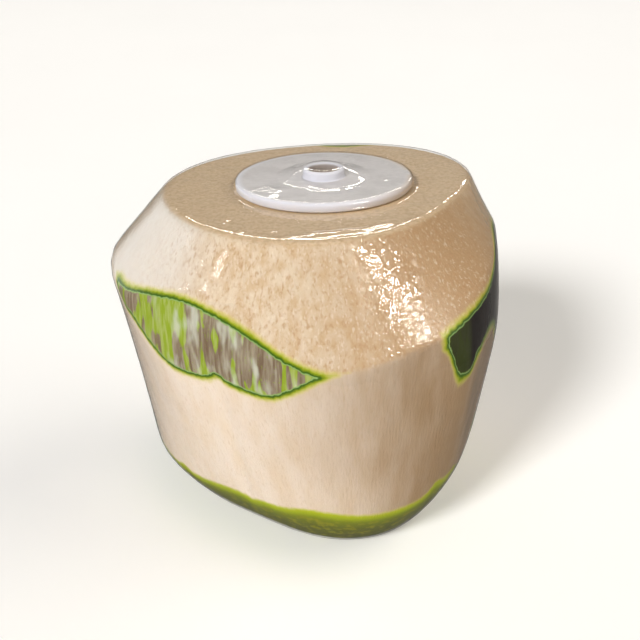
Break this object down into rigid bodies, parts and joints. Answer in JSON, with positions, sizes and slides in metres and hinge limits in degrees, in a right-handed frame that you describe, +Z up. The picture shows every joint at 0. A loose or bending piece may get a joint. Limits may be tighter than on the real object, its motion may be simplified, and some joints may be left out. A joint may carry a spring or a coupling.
{
  "type": "trimmed young coconut",
  "caption": "Young coconut trimmed to a flat top and foot, with a white drinking cap, green skin left at its shoulder and foot, and clear shrink film drawn tight over all.",
  "frame": {"origin": "on the ground, under the middle of the whole part's box", "axes": "+Z up through the flat top, +Y away from the side with the long green skin patch"},
  "size_m": [0.1159, 0.1126, 0.1028],
  "materials": {
    "husk": "moist cut fibre, cream to tan, with bands of green skin",
    "cap_plastic": "translucent white moulded plastic",
    "clear_film": "clear, glossy, slightly creased shrink film"
  },
  "bodies": {
    "root": {"husk": "husk", "cap": "cap_plastic", "film": "clear_film"}
  },
  "joints": []
}
